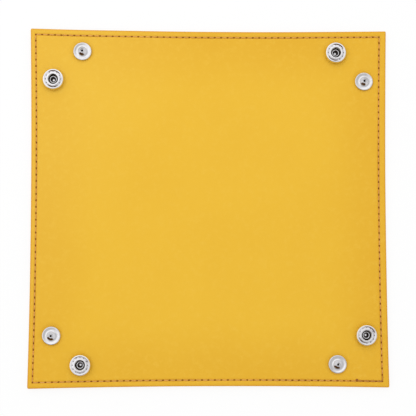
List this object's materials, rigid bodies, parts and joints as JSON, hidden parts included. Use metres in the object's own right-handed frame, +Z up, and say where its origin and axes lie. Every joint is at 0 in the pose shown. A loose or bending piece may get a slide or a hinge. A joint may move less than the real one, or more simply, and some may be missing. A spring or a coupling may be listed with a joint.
{
  "type": "folding dice tray",
  "caption": "Square of doubled, edge-stitched leather whose walls fold up and whose pinched corners press shut with snap studs and sockets, making a tray for rolling dice.",
  "frame": {"origin": "middle of the flat sheet, on the surface that the snap caps stand on", "axes": "+Z up through the sheet, +X to the right side and +Y to the back side, with the rolling surface upwards"},
  "size_m": [0.2, 0.2, 0.0067],
  "materials": {
    "upper_leather": "smooth yellow",
    "lower_leather": "smooth yellow",
    "bonded_leather": "smooth yellow",
    "thread": "brown sewing thread",
    "snap_metal": "bright nickel plate",
    "spring_steel": "bright wire"
  },
  "bodies": {
    "floor": {"upper_leather_floor": "upper_leather", "lower_leather_floor": "lower_leather"},
    "back_wall": {"upper_leather_wall_back": "upper_leather", "lower_leather_wall_back": "lower_leather", "seam_thread_wall_back": "thread"},
    "back_stud_ear": {"stud_ear_leather_back": "bonded_leather", "seam_thread_stud_ear_back": "thread", "snap_stud_back": "snap_metal", "stud_eyelet_back": "snap_metal"},
    "back_stud_fold": {"stud_fold_leather_back": "bonded_leather"},
    "back_socket_ear": {"socket_ear_leather_back": "bonded_leather", "seam_thread_socket_ear_back": "thread", "snap_socket_back": "snap_metal", "socket_spring_back": "spring_steel", "socket_cap_back": "snap_metal"},
    "back_socket_fold": {"socket_fold_leather_back": "bonded_leather"},
    "right_wall": {"upper_leather_wall_right": "upper_leather", "lower_leather_wall_right": "lower_leather", "seam_thread_wall_right": "thread"},
    "right_stud_ear": {"stud_ear_leather_right": "bonded_leather", "seam_thread_stud_ear_right": "thread", "snap_stud_right": "snap_metal", "stud_eyelet_right": "snap_metal"},
    "right_stud_fold": {"stud_fold_leather_right": "bonded_leather"},
    "right_socket_ear": {"socket_ear_leather_right": "bonded_leather", "seam_thread_socket_ear_right": "thread", "snap_socket_right": "snap_metal", "socket_spring_right": "spring_steel", "socket_cap_right": "snap_metal"},
    "right_socket_fold": {"socket_fold_leather_right": "bonded_leather"},
    "front_wall": {"upper_leather_wall_front": "upper_leather", "lower_leather_wall_front": "lower_leather", "seam_thread_wall_front": "thread"},
    "front_stud_ear": {"stud_ear_leather_front": "bonded_leather", "seam_thread_stud_ear_front": "thread", "snap_stud_front": "snap_metal", "stud_eyelet_front": "snap_metal"},
    "front_stud_fold": {"stud_fold_leather_front": "bonded_leather"},
    "front_socket_ear": {"socket_ear_leather_front": "bonded_leather", "seam_thread_socket_ear_front": "thread", "snap_socket_front": "snap_metal", "socket_spring_front": "spring_steel", "socket_cap_front": "snap_metal"},
    "front_socket_fold": {"socket_fold_leather_front": "bonded_leather"},
    "left_wall": {"upper_leather_wall_left": "upper_leather", "lower_leather_wall_left": "lower_leather", "seam_thread_wall_left": "thread"},
    "left_stud_ear": {"stud_ear_leather_left": "bonded_leather", "seam_thread_stud_ear_left": "thread", "snap_stud_left": "snap_metal", "stud_eyelet_left": "snap_metal"},
    "left_stud_fold": {"stud_fold_leather_left": "bonded_leather"},
    "left_socket_ear": {"socket_ear_leather_left": "bonded_leather", "seam_thread_socket_ear_left": "thread", "snap_socket_left": "snap_metal", "socket_spring_left": "spring_steel", "socket_cap_left": "snap_metal"},
    "left_socket_fold": {"socket_fold_leather_left": "bonded_leather"}
  },
  "joints": [
    {"name": "back_wall_fold", "type": "hinge", "parent": "floor", "child": "back_wall", "pos_m": [0, 0.06767, 0.0034], "axis": [1, 0, 0], "range_deg": [0, 90]},
    {"name": "back_stud_ear_crease", "type": "hinge", "parent": "back_wall", "child": "back_stud_ear", "pos_m": [-0.06345, 0.06767, 0.0014], "axis": [0, -1, 0], "range_deg": [0, 45]},
    {"name": "back_stud_fold_crease", "type": "hinge", "parent": "back_stud_ear", "child": "back_stud_fold", "pos_m": [-0.08361, 0.087, 0.0034], "axis": [-0.7071, 0.7071, 0], "range_deg": [0, 90]},
    {"name": "back_socket_ear_crease", "type": "hinge", "parent": "back_wall", "child": "back_socket_ear", "pos_m": [0.06345, 0.06767, 0.0014], "axis": [0, 1, 0], "range_deg": [0, 45]},
    {"name": "back_socket_fold_crease", "type": "hinge", "parent": "back_socket_ear", "child": "back_socket_fold", "pos_m": [0.08361, 0.087, 0.0034], "axis": [-0.7071, -0.7071, 0], "range_deg": [0, 90]},
    {"name": "right_wall_fold", "type": "hinge", "parent": "floor", "child": "right_wall", "pos_m": [0.06767, 0, 0.0034], "axis": [0, -1, 0], "range_deg": [0, 90]},
    {"name": "right_stud_ear_crease", "type": "hinge", "parent": "right_wall", "child": "right_stud_ear", "pos_m": [0.06767, 0.06345, 0.0014], "axis": [-1, 0, 0], "range_deg": [0, 45]},
    {"name": "right_stud_fold_crease", "type": "hinge", "parent": "right_stud_ear", "child": "right_stud_fold", "pos_m": [0.087, 0.08361, 0.0034], "axis": [0.7071, 0.7071, 0], "range_deg": [0, 90]},
    {"name": "right_socket_ear_crease", "type": "hinge", "parent": "right_wall", "child": "right_socket_ear", "pos_m": [0.06767, -0.06345, 0.0014], "axis": [1, 0, 0], "range_deg": [0, 45]},
    {"name": "right_socket_fold_crease", "type": "hinge", "parent": "right_socket_ear", "child": "right_socket_fold", "pos_m": [0.087, -0.08361, 0.0034], "axis": [-0.7071, 0.7071, 0], "range_deg": [0, 90]},
    {"name": "front_wall_fold", "type": "hinge", "parent": "floor", "child": "front_wall", "pos_m": [0, -0.06767, 0.0034], "axis": [-1, 0, 0], "range_deg": [0, 90]},
    {"name": "front_stud_ear_crease", "type": "hinge", "parent": "front_wall", "child": "front_stud_ear", "pos_m": [0.06345, -0.06767, 0.0014], "axis": [0, 1, 0], "range_deg": [0, 45]},
    {"name": "front_stud_fold_crease", "type": "hinge", "parent": "front_stud_ear", "child": "front_stud_fold", "pos_m": [0.08361, -0.087, 0.0034], "axis": [0.7071, -0.7071, 0], "range_deg": [0, 90]},
    {"name": "front_socket_ear_crease", "type": "hinge", "parent": "front_wall", "child": "front_socket_ear", "pos_m": [-0.06345, -0.06767, 0.0014], "axis": [0, -1, 0], "range_deg": [0, 45]},
    {"name": "front_socket_fold_crease", "type": "hinge", "parent": "front_socket_ear", "child": "front_socket_fold", "pos_m": [-0.08361, -0.087, 0.0034], "axis": [0.7071, 0.7071, 0], "range_deg": [0, 90]},
    {"name": "left_wall_fold", "type": "hinge", "parent": "floor", "child": "left_wall", "pos_m": [-0.06767, 0, 0.0034], "axis": [0, 1, 0], "range_deg": [0, 90]},
    {"name": "left_stud_ear_crease", "type": "hinge", "parent": "left_wall", "child": "left_stud_ear", "pos_m": [-0.06767, -0.06345, 0.0014], "axis": [1, 0, 0], "range_deg": [0, 45]},
    {"name": "left_stud_fold_crease", "type": "hinge", "parent": "left_stud_ear", "child": "left_stud_fold", "pos_m": [-0.087, -0.08361, 0.0034], "axis": [-0.7071, -0.7071, 0], "range_deg": [0, 90]},
    {"name": "left_socket_ear_crease", "type": "hinge", "parent": "left_wall", "child": "left_socket_ear", "pos_m": [-0.06767, 0.06345, 0.0014], "axis": [-1, 0, 0], "range_deg": [0, 45]},
    {"name": "left_socket_fold_crease", "type": "hinge", "parent": "left_socket_ear", "child": "left_socket_fold", "pos_m": [-0.087, 0.08361, 0.0034], "axis": [0.7071, -0.7071, 0], "range_deg": [0, 90]}
  ],
  "couplings": [
    {"joint": "back_wall_fold", "follows": "front_wall_fold", "ratio": 1},
    {"joint": "back_stud_ear_crease", "follows": "front_wall_fold", "ratio": 0.5},
    {"joint": "back_stud_fold_crease", "follows": "front_wall_fold", "ratio": 1},
    {"joint": "back_socket_ear_crease", "follows": "front_wall_fold", "ratio": 0.5},
    {"joint": "back_socket_fold_crease", "follows": "front_wall_fold", "ratio": 1},
    {"joint": "right_wall_fold", "follows": "front_wall_fold", "ratio": 1},
    {"joint": "right_stud_ear_crease", "follows": "front_wall_fold", "ratio": 0.5},
    {"joint": "right_stud_fold_crease", "follows": "front_wall_fold", "ratio": 1},
    {"joint": "right_socket_ear_crease", "follows": "front_wall_fold", "ratio": 0.5},
    {"joint": "right_socket_fold_crease", "follows": "front_wall_fold", "ratio": 1},
    {"joint": "front_stud_ear_crease", "follows": "front_wall_fold", "ratio": 0.5},
    {"joint": "front_stud_fold_crease", "follows": "front_wall_fold", "ratio": 1},
    {"joint": "front_socket_ear_crease", "follows": "front_wall_fold", "ratio": 0.5},
    {"joint": "front_socket_fold_crease", "follows": "front_wall_fold", "ratio": 1},
    {"joint": "left_wall_fold", "follows": "front_wall_fold", "ratio": 1},
    {"joint": "left_stud_ear_crease", "follows": "front_wall_fold", "ratio": 0.5},
    {"joint": "left_stud_fold_crease", "follows": "front_wall_fold", "ratio": 1},
    {"joint": "left_socket_ear_crease", "follows": "front_wall_fold", "ratio": 0.5},
    {"joint": "left_socket_fold_crease", "follows": "front_wall_fold", "ratio": 1}
  ]
}
